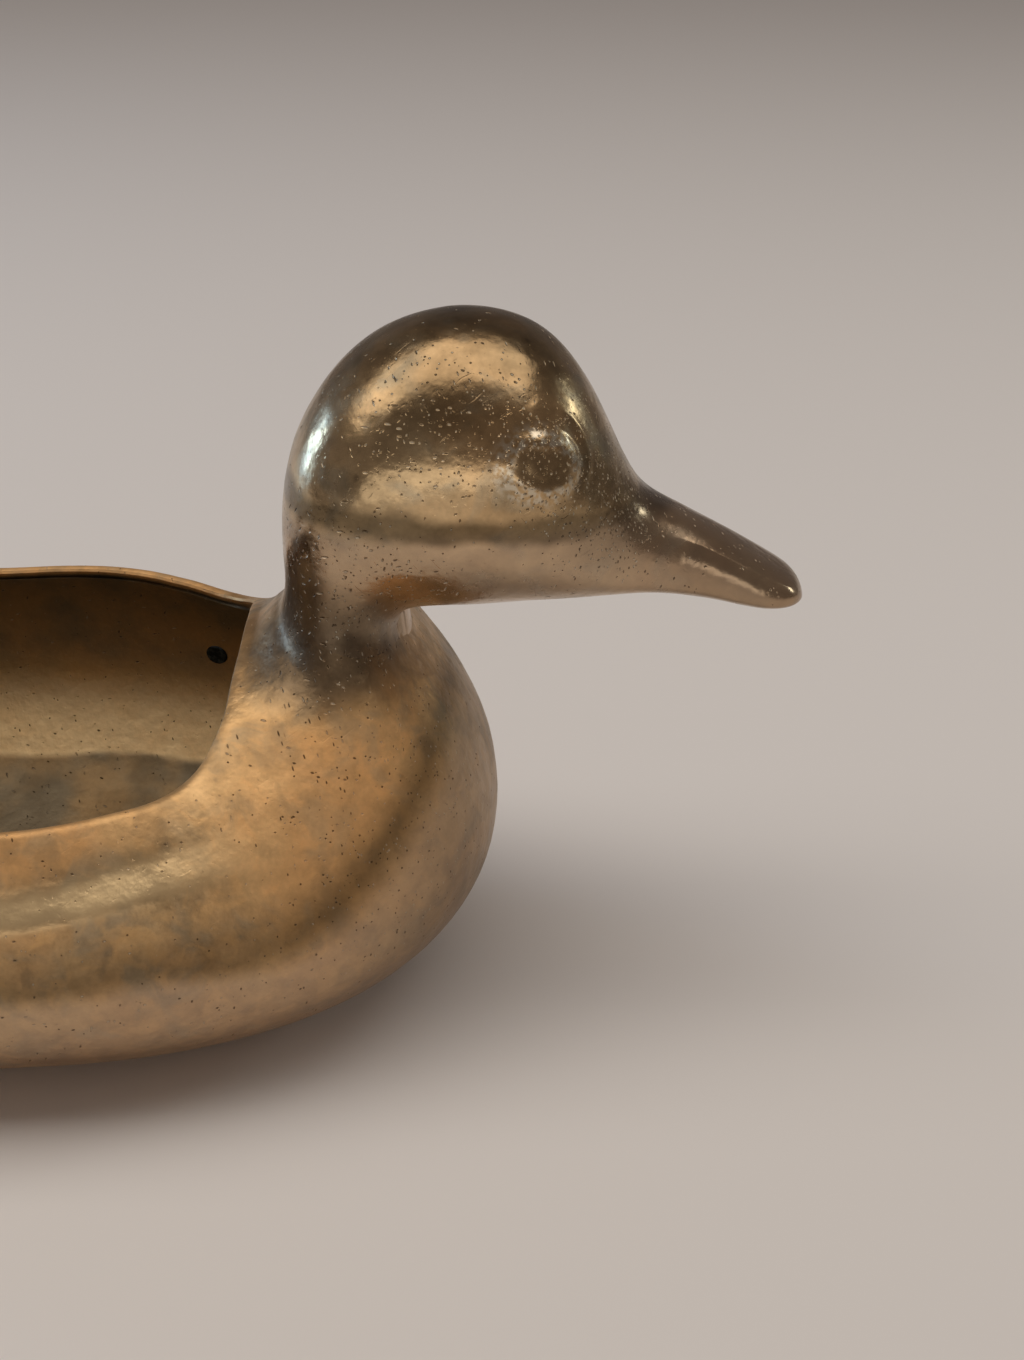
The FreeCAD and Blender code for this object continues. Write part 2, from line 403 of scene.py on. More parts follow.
class Chart:
    """The fine skin as a chart: a place for each ring number and each turn from the top."""

    def __init__(self, skin: bpy.types.Object, points_around: int, fineness: int) -> None:
        """Note where each point of the skin lies.

        Args:
            skin: The fine skin, with its "row", "across" and "up".
            points_around: How many points a ring of its cage has.
            fineness: How many steps each ring and each turn is divided into.
        """
        self.skin = skin
        self.points_around = points_around
        self.fineness = fineness
        self.places: dict[tuple[int, int], Vector] = {}
        self.marks: list[Vector] = []
        bottom = points_around // 2 * fineness
        layers = [skin.data.attributes[name].data for name in ("row", "across", "up")]
        for point in skin.data.vertices:
            row, across, up = (layer[point.index].value for layer in layers)
            mark = Vector((row, self.turn(across, up)))
            self.marks.append(mark)
            key = (round(mark.x * fineness), round(mark.y * fineness))
            self.places[key] = point.co.copy()
            if abs(key[1]) == bottom:
                self.places[(key[0], -key[1])] = point.co.copy()
        log.info("chart: %d places from %d points", len(self.places), len(self.marks))

    def turn(self, across: float, up: float) -> float:
        """Return how many cage points round from the top a point lies, positive on the left."""
        return math.atan2(across, up) / math.tau * self.points_around

    def place(self, mark: Vector) -> Vector | None:
        """Look a place up between the chart's points.

        Args:
            mark: The ring number and the turn.

        Returns:
            The place, or None beyond the skin's ends.
        """
        along, around = mark.x * self.fineness, mark.y * self.fineness
        row, step = math.floor(along), math.floor(around)
        corners = [self.places.get((row + a, step + b)) for a in (0, 1) for b in (0, 1)]
        if None in corners:
            return None
        lower = corners[0].lerp(corners[1], around - step)
        upper = corners[2].lerp(corners[3], around - step)
        return lower.lerp(upper, along - row)

    def under(self, plan: Vector, height: float) -> tuple[Vector, Vector]:
        """Find what lies straight below a point of the plan.

        Args:
            plan: The point, seen from above.
            height: A level above the skin there.

        Returns:
            The place on the skin, and its ring number and turn.
        """
        above = Vector((plan.x, plan.y, height))
        _, hit, _, number = self.skin.ray_cast(above, Vector((0, 0, -1)))
        total, mark = 0.0, Vector((0, 0))
        for index in self.skin.data.polygons[number].vertices:
            weight = 1 / ((self.skin.data.vertices[index].co - hit).length + 0.001 * MM)
            mark += self.marks[index] * weight
            total += weight
        return hit, mark / total


@dataclass
class NeckJoint:
    """The slanting joint between the neck and the head, and what lies in it."""

    skin: Skin
    nape_rise_share: float = 0.06
    throat_drop_share: float = 0.09
    throat_reach_share: float = 0.42
    braze_width: float = 1.6 * MM
    braze_depth: float = 1.2 * MM

    def __post_init__(self) -> None:
        """Work out the joint's plane."""
        head = self.skin.head_size
        nape_z = self.skin.jaw_z + self.nape_rise_share * head.z
        throat_x = self.skin.nape_x + self.throat_reach_share * head.x
        throat_z = self.skin.jaw_z - self.throat_drop_share * head.z
        nape = Vector((self.skin.nape_x, 0, nape_z))
        throat = Vector((throat_x, 0, throat_z))
        self.middle = (nape + throat) / 2
        self.along = (throat - nape).normalized()
        self.up = self.along.cross(Vector((0, 1, 0)))

    def keep(self, piece: bpy.types.Object, above: float | None, below: float | None) -> None:
        """Cut a piece at the joint, square to the neck.

        Args:
            piece: The skin to cut.
            above: The level that it is kept above, or None.
            below: The level that it is kept below, or None.
        """
        for level, lower in ((above, True), (below, False)):
            if level is None:
                continue
            with editing(piece):
                bpy.ops.mesh.select_all(action="SELECT")
                bpy.ops.mesh.bisect(
                    plane_co=self.middle + self.up * level,
                    plane_no=self.up,
                    clear_inner=lower,
                    clear_outer=not lower,
                )

    def build(self, skin: bpy.types.Object) -> bpy.types.Object:
        """Build the band of braze that fills the groove round the joint.

        Args:
            skin: The skin that the band is cut from.

        Returns:
            The band.
        """
        band = copy_of(skin, "neck_braze_band")
        self.keep(band, -self.braze_width / 2, self.braze_width / 2)
        finish_with(band, "SOLIDIFY", thickness=self.braze_depth, offset=-1)
        shade(band, 40)
        return band


@dataclass
class Bowl:
    """The body: a thin wall with an open back, a rounded lip and a flat foot."""

    skin: Skin
    joint: NeckJoint
    wall: float = 3 * MM
    tail_roof: float = 52.7 * MM
    nape_lip: float = 4.4 * MM
    side_lip: float = 6 * MM
    lip_out: float = -1.0 * MM
    lip_shift: float = -0.8 * MM
    levels: int = 3
    first_rounds: int = 200
    later_rounds: int = 40
    evening_step: float = 1.5
    # A level above the rim and below the head's crown, as a share of the body's height
    above_share: float = 1.12
    # The lip's section, from the outside to the underside: steps along the skin, inward and up, in mm
    lip_section: Shares = field(default_factory=lambda: [
        (0.5, 0.1, 0.0), (0.8, 0.5, 0.0), (0.9, 1.1, -0.08), (0.9, 1.7, -0.3), (0.9, 2.0, -0.8),
        (0.9, 1.95, -1.4), (0.85, 1.6, -1.9), (0.7, 0.9, -2.3),
    ])
    solid_tail: float = 16 * MM
    first_row: float = 4.25
    last_row: float = 10.5
    half_columns: float = 2.75
    # How far round the opening the points follow its edge: rows behind, rows in front, and columns
    loose_behind: float = 3
    loose_before: float = 1.1
    loose_beside: float = 4
    # The opening's edge, from its front to its back: reach behind the front, and half width
    edge_shares: Shares = field(default_factory=lambda: [
        (0.0, 0.0), (0.004, 0.24), (0.016, 0.49), (0.055, 0.68), (0.16, 0.86), (0.31, 0.965),
        (0.53, 1.0), (0.75, 0.9), (0.91, 0.64), (0.982, 0.31), (1.0, 0.0),
    ])

    def outline(self, count: int, out: float) -> list[Vector]:
        """Lay out evenly spaced points along the opening's edge, in plan.

        Args:
            count: How many points.
            out: How far outside the edge they lie.

        Returns:
            The points, from the middle of the front round by the left side.
        """
        front = self.skin.nape_x - self.nape_lip
        length = front - self.skin.tail_x - self.tail_roof
        half_width = self.skin.body_size.y / 2 - self.side_lip
        left = [Vector((front - back * length, side * half_width, 0)) for back, side in self.edge_shares]
        right = [Vector((point.x, -point.y, 0)) for point in left[-2:0:-1]]
        curve = bpy.data.curves.new("opening_edge", "CURVE")
        spline = curve.splines.new("BEZIER")
        spline.bezier_points.add(len(left + right) - 1)
        for knot, point in zip(spline.bezier_points, left + right):
            knot.co = point
            knot.handle_left_type = knot.handle_right_type = "AUTO"
        spline.use_cyclic_u = True
        spline.resolution_u = 32
        holder = bpy.data.objects.new("opening_edge", curve)
        bpy.context.scene.collection.objects.link(holder)
        bpy.context.view_layer.update()
        mesh = bpy.data.meshes.new_from_object(holder)
        fine = [point.co.copy() for point in mesh.vertices]
        discard(holder)
        bpy.data.meshes.remove(mesh)
        even = self.spaced(fine, count)
        moved = []
        for before, point, after in zip(even[-1:] + even[:-1], even, even[1:] + even[:1]):
            tangent = (after - before).normalized()
            moved.append(point + Vector((tangent.y, -tangent.x, 0)) * out + Vector((0, self.lip_shift, 0)))
        return moved

    @staticmethod
    def spaced(fine: list[Vector], count: int) -> list[Vector]:
        """Space points evenly along a closed line.

        Args:
            fine: The line's own many points.
            count: How many points are wanted.

        Returns:
            The evenly spaced points.
        """
        steps = [(after - before).length for before, after in zip(fine, fine[1:] + fine[:1])]
        stride = sum(steps) / count
        points, walked, number = [], 0.0, 0
        for index in range(count):
            while walked + steps[number] < index * stride:
                walked += steps[number]
                number += 1
            share = (index * stride - walked) / steps[number]
            points.append(fine[number].lerp(fine[(number + 1) % len(fine)], share))
        return points

    def open_back(self, body: bpy.types.Object, chart: Chart) -> None:
        """Take the faces of the opening out.

        Args:
            body: The body's coarse skin, with its "row", "across" and "up".
            chart: The skin's chart.
        """
        with editing(body) as mesh:
            layers = [mesh.verts.layers.float[name] for name in ("row", "across", "up")]

            def in_opening(face: bmesh.types.BMFace) -> bool:
                """Tell whether a face lies in the opening's block of rows and turns."""
                row, across, up = (sum(point[layer] for point in face.verts) for layer in layers)
                in_rows = self.first_row < row / len(face.verts) < self.last_row
                return in_rows and abs(chart.turn(across, up)) < self.half_columns

            pick_faces(mesh, in_opening)
            bpy.ops.mesh.delete(type="FACE")

    def rim_of(self, mesh: bmesh.types.BMesh) -> list[bmesh.types.BMVert]:
        """Walk round the opening's rim.

        Args:
            mesh: The body's edit mesh.

        Returns:
            The rim's points in order, from the middle of the front round by the left side.
        """
        ends = [point for point in mesh.verts if point.is_boundary and point.co.x < self.skin.nape_x]
        start = max(ends, key=lambda point: point.co.x - abs(point.co.y - self.lip_shift))
        rim = [start]
        link = max((e for e in start.link_edges if e.is_boundary), key=lambda e: e.other_vert(start).co.y)
        following = link.other_vert(start)
        while following is not start:
            rim.append(following)
            link = next(e for e in following.link_edges if e.is_boundary and e is not link)
            following = link.other_vert(following)
        return rim

    def fit(self, body: bpy.types.Object, chart: Chart, rounds: int) -> None:
        """Lay the rim on the opening's edge, and let the rest follow evenly on the skin.

        Args:
            body: The opened body.
            chart: The skin's chart.
            rounds: How often the points between are evened out.
        """
        none = Vector((0, 0))
        with editing(body) as mesh:
            mesh.verts.index_update()
            row, across, up = (mesh.verts.layers.float[name] for name in ("row", "across", "up"))
            marks = [Vector((point[row], chart.turn(point[across], point[up]))) for point in mesh.verts]
            rim = self.rim_of(mesh)
            shifts, places = {}, {}
            for point, plan in zip(rim, self.outline(len(rim), self.lip_out)):
                places[point.index], mark = chart.under(plan, self.skin.body_size.z * self.above_share)
                shifts[point.index] = mark - marks[point.index]
            links = {}
            for point in mesh.verts:
                mark = marks[point.index]
                along = self.first_row - self.loose_behind < mark.x < self.last_row + self.loose_before
                beside = abs(mark.y) < self.half_columns + self.loose_beside
                if along and beside and not point.is_boundary:
                    links[point.index] = [edge.other_vert(point).index for edge in point.link_edges]
            for _ in range(rounds):
                for index, near in links.items():
                    mean = sum((shifts.get(other, none) for other in near), none) / len(near)
                    old = shifts.get(index, none)
                    shifts[index] = old + (mean - old) * self.evening_step
            for point in mesh.verts:
                mark = marks[point.index] + shifts.get(point.index, none)
                place = places.get(point.index) or chart.place(mark)
                point.co = place or chart.skin.closest_point_on_mesh(point.co)[1]
                angle = math.tau * mark.y / chart.points_around
                point[row], point[across], point[up] = mark.x, math.sin(angle), math.cos(angle)

    def flatten(self, piece: bpy.types.Object, place: Vector, direction: Vector) -> None:
        """Cut a piece flat, and close the cut.

        Args:
            piece: The piece to cut.
            place: A point of the cut.
            direction: The way from the cut to the part that stays.
        """
        with editing(piece):
            bpy.ops.mesh.select_all(action="SELECT")
            bpy.ops.mesh.bisect(plane_co=place, plane_no=direction, use_fill=True, clear_inner=True)

    def turn_lip(self, body: bpy.types.Object) -> None:
        """Roll the rim's edge inward, in a rounded profile as thick as the wall.

        Args:
            body: The opened body.
        """
        with editing(body) as mesh:
            rim = self.rim_of(mesh)
            starts = [point.co.copy() for point in rim]
            normals = [point.normal.copy() for point in rim]
            before, after = starts[-1:] + starts[:-1], starts[1:] + starts[:1]
            tangents = [following - last for last, following in zip(before, after)]
            inward = [tangent.cross(normal).normalized() * -1 for tangent, normal in zip(tangents, normals)]
            centre = sum(starts, Vector()) / len(starts)
            shade_layer = mesh.verts.layers.float["inside"]
            for number, (along, across, up) in enumerate(self.lip_section, start=1):
                pick_edges(mesh, lambda edge: edge.is_boundary and edge.verts[0].co.x < self.skin.nape_x)
                bpy.ops.mesh.extrude_edges_move()
                mesh.verts.ensure_lookup_table()
                for point, start, side in zip(self.rim_of(mesh), starts, inward):
                    skinward = side if side.dot(centre - start) > 0 else -side
                    level = Vector((skinward.x, skinward.y, 0)).normalized()
                    point.co = start + (skinward * along + level * across + Vector((0, 0, up))) * MM
                    point[shade_layer] = smooth_step(0.4, 1.0, number / len(self.lip_section))

    def close_end(self, mesh: bmesh.types.BMesh, at_neck: bool) -> None:
        """Bridge the outside and the inside at the lip or at the neck.

        Args:
            mesh: The body's edit mesh, with both walls in it.
            at_neck: Whether the neck's end is closed, and not the lip's.
        """

        def at_end(edge: bmesh.types.BMEdge) -> bool:
            """Tell whether an open edge is at the end that is being closed."""
            height = (edge.verts[0].co - self.joint.middle).dot(self.joint.up)
            return edge.is_boundary and (height > -1.5 * self.wall) == at_neck

        pick_edges(mesh, at_end)
        bpy.ops.mesh.bridge_edge_loops()

    def build(self, cage: bpy.types.Object, chart: Chart) -> bpy.types.Object:
        """Build the finished body.

        Args:
            cage: The duck's cage.
            chart: The chart of the skin that the body's outside lies on.

        Returns:
            The body, with how far in a point lies in "inside".
        """
        body = copy_of(cage, "duck_body")
        body.data.attributes.new("inside", "FLOAT", "POINT")
        subdivide(body, 2)
        self.open_back(body, chart)
        self.fit(body, chart, self.first_rounds)
        for _ in range(self.levels - 2):
            subdivide(body, 1)
            self.fit(body, chart, self.later_rounds)
        self.joint.keep(body, None, -self.joint.braze_width / 2)
        inside = copy_of(body, "duck_body_inside")
        finish_with(inside, "DISPLACE", direction="NORMAL", strength=-self.wall, mid_level=0)
        self.flatten(inside, Vector((0, 0, self.wall)), Vector((0, 0, 1)))
        self.flatten(inside, Vector((self.skin.tail_x + self.solid_tail, 0, 0)), Vector((1, 0, 0)))
        for value in inside.data.attributes["inside"].data:
            value.value = 1
        self.flatten(body, Vector((0, 0, 0)), Vector((0, 0, 1)))
        self.turn_lip(body)
        join(body, inside)
        with editing(body) as mesh:
            self.close_end(mesh, False)
            self.close_end(mesh, True)
            face_outwards()
        for point in body.data.vertices:
            point.co.z = max(point.co.z, 0.0)
        shade(body, 35)
        return body


@dataclass
class Head:
    """The hollow head with its bill, its two cast eyes and the spigot under it."""

    skin: Skin
    joint: NeckJoint
    wall: float = 3 * MM
    fit_gap: float = 0.2 * MM
    spigot_wall: float = 2 * MM
    spigot_depth: float = 8 * MM
    collar_height: float = 4 * MM
    points_around: int = 64
    eye_reach_share: float = 0.78
    eye_level_share: float = 0.6
    eye_length: float = 17 * MM
    eye_height: float = 14 * MM
    eye_rise: float = 0.75 * MM
    ball_length: float = 10.2 * MM
    ball_height: float = 7 * MM
    ball_shift: float = 0.3 * MM
    ball_tilt: float = 0.08
    ball_rise: float = 0.18 * MM
    lid_rise: float = 0.07 * MM
    brow_back: float = 1 * MM
    brow_up: float = 1.5 * MM
    brow_reach: float = 11.5 * MM
    brow_height: float = 9.5 * MM
    brow_rise: float = 0.22 * MM
    brow_dip: float = 0.3 * MM
    crust_size: float = 2.2 * MM
    lean_share: float = 0.42
    # The hollow above its collar, up to the crown: height and reach, as shares of the head's
    dome_shares: Shares = field(default_factory=lambda: [
        (0.16, 0.6), (0.26, 0.58), (0.38, 0.56), (0.5, 0.56), (0.62, 0.56), (0.72, 0.56), (0.79, 0.56),
    ])

    def lining(self, outside: BVHTree, level: float, depth: float, reach: float) -> Ring:
        """Lay a loop round the inside of the neck or the head.

        Args:
            outside: The search tree of the fine skin.
            level: How far above the joint the loop's plane is.
            depth: How far the loop lies under the skin.
            reach: How far from its middle the loop may go, so that it stays out of the bill.

        Returns:
            The loop's points.
        """
        side = Vector((0, 1, 0))
        lean = self.joint.along * max(level, 0) * self.lean_share
        middle = self.joint.middle + self.joint.up * level + lean
        loop = []
        for step in range(self.points_around):
            angle = math.tau * step / self.points_around
            direction = self.joint.along * math.cos(angle) + side * math.sin(angle)
            place, normal, _, distance = outside.ray_cast(middle, direction)
            if distance > reach:
                loop.append(middle + direction * (reach - depth))
            else:
                loop.append(place - normal * depth)
        return loop

    def hollow(self, outside: BVHTree) -> bpy.types.Object:
        """Build the head's inside: collar, spigot and hollow, closed at the crown.

        Args:
            outside: The search tree of the fine skin.

        Returns:
            The inside, open at the joint.
        """
        seat = self.wall + self.fit_gap
        bore = seat + self.spigot_wall
        groove = self.joint.braze_depth + self.fit_gap / 4
        half = self.joint.braze_width / 2
        wide = self.skin.head_size.y
        steps = [(half, groove), (-half * 0.9, groove), (-half * 0.9, seat), (-self.spigot_depth, seat)]
        steps += [(-self.spigot_depth, bore), (self.collar_height, bore), (self.collar_height * 1.2, self.wall)]
        loops = [self.lining(outside, level, depth, wide) for level, depth in steps]
        for level_share, reach_share in self.dome_shares:
            level = level_share * self.skin.head_size.z
            loops.append(self.lining(outside, level, self.wall, reach_share * self.skin.head_size.x))
        mesh = bmesh.new()
        rows = [[mesh.verts.new(place) for place in loop] for loop in loops]
        for lower, upper in zip(rows, rows[1:]):
            for step in range(self.points_around):
                after = (step + 1) % self.points_around
                mesh.faces.new((lower[step], upper[step], upper[after], lower[after]))
        mesh.faces.new(rows[-1])
        data = bpy.data.meshes.new("head_hollow")
        mesh.to_mesh(data)
        mesh.free()
        piece = bpy.data.objects.new("head_hollow", data)
        bpy.context.scene.collection.objects.link(piece)
        return piece

    def eye_seat(self, outside: BVHTree, side: Side) -> tuple[Vector, Vector, Vector, Vector]:
        """Find where an eye sits.

        Args:
            outside: The search tree of the fine skin.
            side: The eye's side.

        Returns:
            The eye's middle, and its directions outward, forward and up.
        """
        x = self.skin.nape_x + self.eye_reach_share * self.skin.head_size.x
        z = self.skin.jaw_z + self.eye_level_share * self.skin.head_size.z
        place, outward, _, _ = outside.ray_cast(Vector((x, 0, z)), Vector((0, side.value, 0)))
        forward = (Vector((1, 0, 0)) - outward * outward.x).normalized()
        upward = (Vector((0, 0, 1)) - outward * outward.z - forward * forward.z).normalized()
        return place, outward, forward, upward

    def refine(self, head: bpy.types.Object, outside: BVHTree) -> None:
        """Halve the faces round both eyes, where the relief is finest.

        Args:
            head: The head's skin.
            outside: The search tree of the fine skin.
        """
        seats = [self.eye_seat(outside, side)[0] for side in Side]

        def near_eye(face: bmesh.types.BMFace) -> bool:
            """Tell whether a face lies near an eye."""
            middle = face.calc_center_median()
            return min((middle - seat).length for seat in seats) < self.eye_length

        with editing(head) as mesh:
            pick_faces(mesh, near_eye)
            bpy.ops.mesh.subdivide(number_cuts=1)

    def eyeball(self, ahead: float, above: float) -> float:
        """Return how far out a place is in the eyeball's oval: 0 in its middle, 1 on its edge."""
        lean = above + self.ball_tilt * ahead
        along = (ahead - self.ball_shift) / (self.ball_length / 2)
        return math.hypot(along, (lean + self.ball_shift) / (self.ball_height / 2))

    def eyelid(self, ahead: float, above: float) -> float:
        """Return how far out a place is in the whole eye's oval: 0 in its middle, 1 on its edge."""
        return math.hypot(ahead / (self.eye_length / 2), above / (self.eye_height / 2))

    def eye_relief(self, ahead: float, above: float) -> float:
        """Work out how far the eye's relief stands above the head's skin.

        Args:
            ahead: How far forward of the eye's middle.
            above: How far above it.

        Returns:
            The rise of the lid, the ball and the brow there.
        """
        lid, ball = self.eyelid(ahead, above), self.eyeball(ahead, above)
        crust = noise.noise(Vector((ahead, above, 0)) / self.crust_size)
        rise = self.eye_rise * (1 - smooth_step(0.5, 1.05, lid + 0.08 * crust))
        rise *= 1 - 0.55 * (1 - smooth_step(0.6, 1.3, ball + 0.12 * crust))
        rise += self.ball_rise * max(1 - ball * ball, 0)
        upper = 0.5 + 0.5 * smooth_step(-0.3, 0.5, above / (self.eye_height / 2))
        rise += self.lid_rise * upper * (1 + 2.5 * crust) * math.exp(-(((ball - 1.4) / 0.3) ** 2))
        brow = math.hypot((ahead + self.brow_back) / self.brow_reach, (above - self.brow_up) / self.brow_height)
        front = smooth_step(0.2, 0.8, ahead / (10 * MM)) * smooth_step(-0.6, 0.1, above / (10 * MM))
        rise += self.brow_rise * front * math.exp(-(((brow - 1) / 0.07) ** 2))
        rise -= self.brow_dip * front * (1 - smooth_step(0.8, 0.97, brow)) * smooth_step(0.9, 1.05, lid)
        return rise

    def add_eyes(self, head: bpy.types.Object, outside: BVHTree) -> None:
        """Raise both eyes out of the head's skin, and mark eyeballs and lids for the finish.

        Args:
            head: The head's skin.
            outside: The search tree of the fine skin.
        """
        eye_mark = head.data.attributes.new("eye", "FLOAT", "POINT")
        lid_mark = head.data.attributes.new("lid", "FLOAT", "POINT")
        for side in Side:
            middle, outward, forward, upward = self.eye_seat(outside, side)
            for point in head.data.vertices:
                away = point.co - middle
                if away.length < self.eye_length and point.co.y * side.value > 0:
                    ahead, above = away.dot(forward), away.dot(upward)
                    point.co += outward * self.eye_relief(ahead, above)
                    lid, ball = self.eyelid(ahead, above), self.eyeball(ahead, above)
                    eye_mark.data[point.index].value = 1 - smooth_step(0.8, 1.15, ball)
                    on_lid = smooth_step(0.95, 1.2, ball) * (1 - smooth_step(0.8, 1.2, lid))
                    lid_mark.data[point.index].value = on_lid

    def build(self, skin: bpy.types.Object, outside: BVHTree) -> bpy.types.Object:
        """Build the finished head.

        Args:
            skin: The skin that the head is cut from.
            outside: The search tree of the fine skin.

        Returns:
            The head, with its eyeballs and lids marked in "eye" and "lid".
        """
        head = copy_of(skin, "duck_head")
        self.joint.keep(head, self.joint.braze_width / 2, None)
        self.refine(head, outside)
        self.add_eyes(head, outside)
        join(head, self.hollow(outside))
        with editing(head) as mesh:
            pick_edges(mesh, lambda edge: edge.is_boundary)
            bpy.ops.mesh.bridge_edge_loops()
            face_outwards()
        shade(head, 35)
        return head


@dataclass
class CorePin:
    """A steel pin that held the casting's core, cut off in the wall."""

    skin: Skin
    side: Side
    diameter: float = 5 * MM
    height: float = 40 * MM
    reach_share: float = 0.728
    wall: float = 3 * MM
    proud: float = 0.3 * MM
    outer_cover: float = 1.3 * MM
    edge_round: float = 0.45 * MM
    dish_rim: float = 0.6 * MM
    dish_depth: float = 0.12 * MM

    def build(self, outside: BVHTree) -> bpy.types.Object:
        """Build the pin, with a rounded, slightly dished inner end.

        Args:
            outside: The search tree of the fine skin.

        Returns:
            The pin, its ends shaped to follow the wall.
        """
        x = self.skin.tail_x + self.reach_share * self.skin.body_size.x
        start = Vector((x, 0, self.height))
        place, _, _, _ = outside.ray_cast(start, Vector((0, self.side.value, 0)))
        outer_y = place.y - self.side.value * self.outer_cover
        inner_y = place.y - self.side.value * (self.wall + self.proud)
        bpy.ops.object.select_all(action="DESELECT")
        bpy.ops.mesh.primitive_cylinder_add(
            vertices=48,
            radius=self.diameter / 2,
            depth=abs(outer_y - inner_y),
            location=(x, (outer_y + inner_y) / 2, self.height),
            rotation=(math.pi / 2, 0, 0),
        )
        pin = bpy.context.active_object
        pin.name = f"core_pin_end_{self.side.name.lower()}"
        bpy.ops.object.transform_apply(location=True, rotation=True, scale=True)
        with editing(pin) as mesh:
            pick_faces(mesh, lambda face: face.normal.y * self.side.value < -0.9)
            bpy.ops.mesh.bevel(offset=self.edge_round, segments=3)
            pick_faces(mesh, lambda face: face.normal.y * self.side.value < -0.999)
            bpy.ops.mesh.inset(thickness=self.dish_rim, depth=-self.dish_depth)
        for point in pin.data.vertices:
            under = Vector((point.co.x, 0, point.co.z))
            above, normal, _, _ = outside.ray_cast(under, Vector((0, self.side.value, 0)))
            thicker = self.wall * (1 / abs(normal.y) - 1)
            point.co.y += above.y - place.y - self.side.value * thicker
        shade(pin, 40)
        return pin


class Wire:
    """A node's output that takes part in sums."""

    def __init__(self, graph: "Graph", socket: bpy.types.NodeSocket) -> None:
        """Keep the graph and the socket."""
        self.graph = graph
        self.socket = socket

    def math(self, operation: str, *others: "float | Wire") -> "Wire":
        """Add a Math node on this value and others.

        Args:
            operation: What it works out.
            *others: The other values or wires.

        Returns:
            The result.
        """
        values = dict(enumerate((self, *others)))
        return self.graph.node("ShaderNodeMath", {"operation": operation}, values)

    def __add__(self, other: "float | Wire") -> "Wire":
        """Add."""
        return self.math("ADD", other)

    def __mul__(self, other: "float | Wire") -> "Wire":
        """Multiply."""
        return self.math("MULTIPLY", other)

    def __sub__(self, other: "float | Wire") -> "Wire":
        """Subtract."""
        return self.math("SUBTRACT", other)

    def __rsub__(self, other: float) -> "Wire":
        """Subtract this value from a number."""
        return self.graph.node("ShaderNodeMath", {"operation": "SUBTRACT"}, {0: other, 1: self})

    def __abs__(self) -> "Wire":
        """Drop the sign."""
        return self.math("ABSOLUTE")


@dataclass(frozen=True)
class Spot:
    """A rounded patch on both sides of the duck, in millimetres."""

    x: float
    y: float
    z: float
    core: float
    reach: float
    share: float = 1


